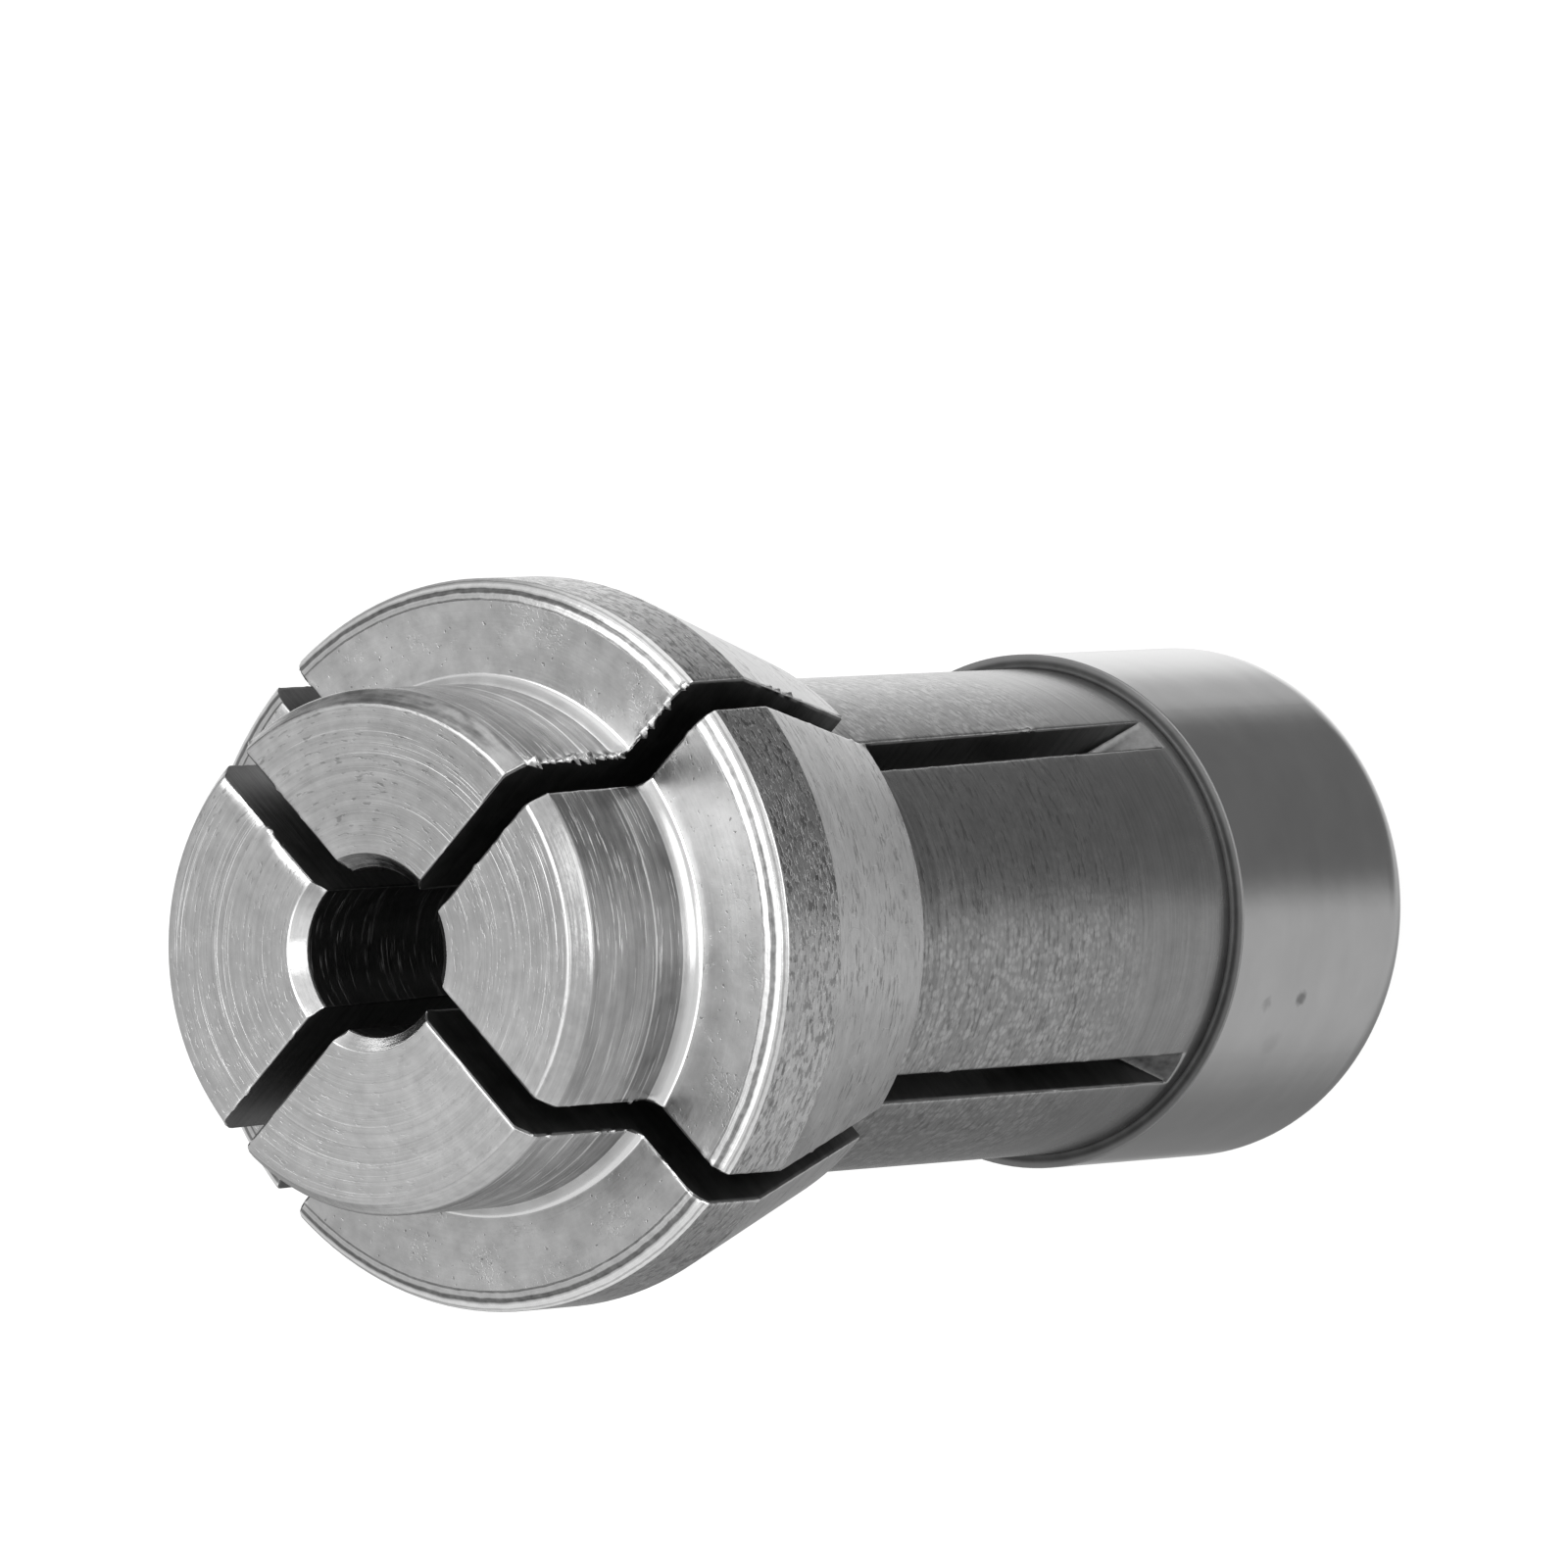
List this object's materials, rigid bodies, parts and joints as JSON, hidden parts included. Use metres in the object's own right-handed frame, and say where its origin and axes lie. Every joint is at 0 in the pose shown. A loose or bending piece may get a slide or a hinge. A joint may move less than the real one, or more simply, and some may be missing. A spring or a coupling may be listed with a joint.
{
  "type": "die grinder collet",
  "caption": "Slit spring collet for a die grinder: short nose, wide head with rear taper, slim slit body, rear guide collar, 3 mm grip bore.",
  "frame": {"origin": "centre of the flat rear end, on the collet's axis", "axes": "+Z along the axis towards the nose; the slits run along X and Y, so the jaws sit on the diagonals"},
  "size_m": [0.013, 0.013, 0.0266],
  "materials": {
    "steel": "turned spring steel, satin, with a ground rear collar"
  },
  "bodies": {
    "root": {"collet": "steel"}
  },
  "joints": []
}
